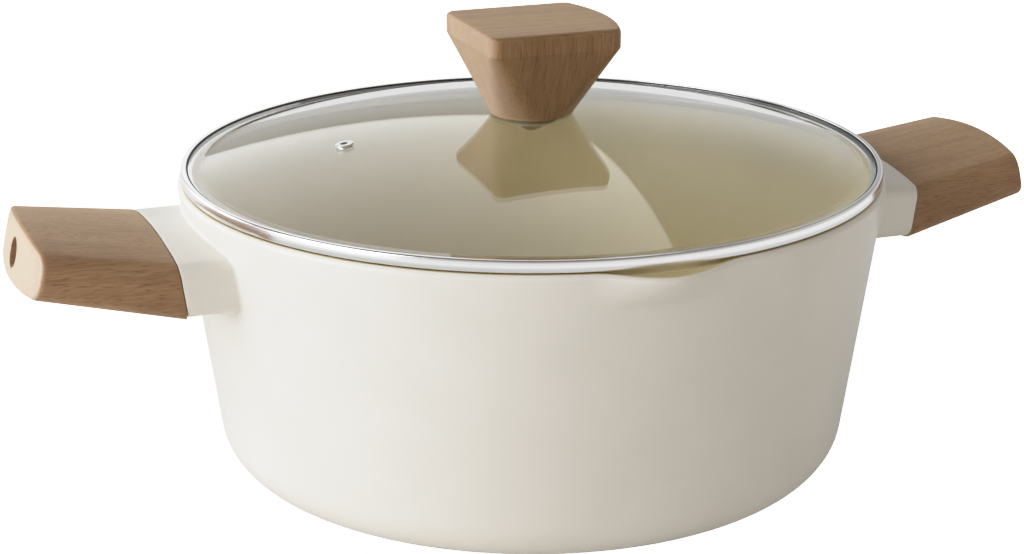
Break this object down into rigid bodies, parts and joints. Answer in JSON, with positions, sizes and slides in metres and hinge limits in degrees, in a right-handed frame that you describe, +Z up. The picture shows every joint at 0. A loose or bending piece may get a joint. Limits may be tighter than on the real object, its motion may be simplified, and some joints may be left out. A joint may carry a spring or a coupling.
{
  "type": "casserole",
  "caption": "Cast casserole with wooden grips, a pouring lip and a lift-off domed glass lid with a steel rim and wooden knob, for stewing on a hob.",
  "frame": {"origin": "centre of the pot's base, on the surface it stands on", "axes": "+Z up, +X out along the right-hand grip, -Y towards the pouring lip"},
  "size_m": [0.3674, 0.2519, 0.1568],
  "materials": {
    "coated_aluminium": "matte cream ceramic coating, khaki inside",
    "wood": "oiled, fine straight grain",
    "glass": "clear",
    "rim_steel": "polished",
    "steel": "satin",
    "silicone": "matte",
    "brass": "turned"
  },
  "bodies": {
    "pot": {"pot_body": "coated_aluminium", "induction_disc": "steel", "grip_right": "wood", "grip_left": "wood", "grip_washers": "steel", "grip_screws": "steel"},
    "lid": {"lid_glass": "glass", "lid_rim": "rim_steel", "lid_seal": "silicone", "vent_eyelet": "rim_steel", "knob": "wood", "knob_insert": "brass", "knob_seat": "silicone", "knob_gasket": "silicone", "knob_washer": "steel", "knob_screw": "steel"}
  },
  "joints": [
    {"name": "lid_lift", "type": "slide", "parent": "pot", "child": "lid", "axis": [0, 0, 1], "range_m": [0, 0.15]}
  ]
}
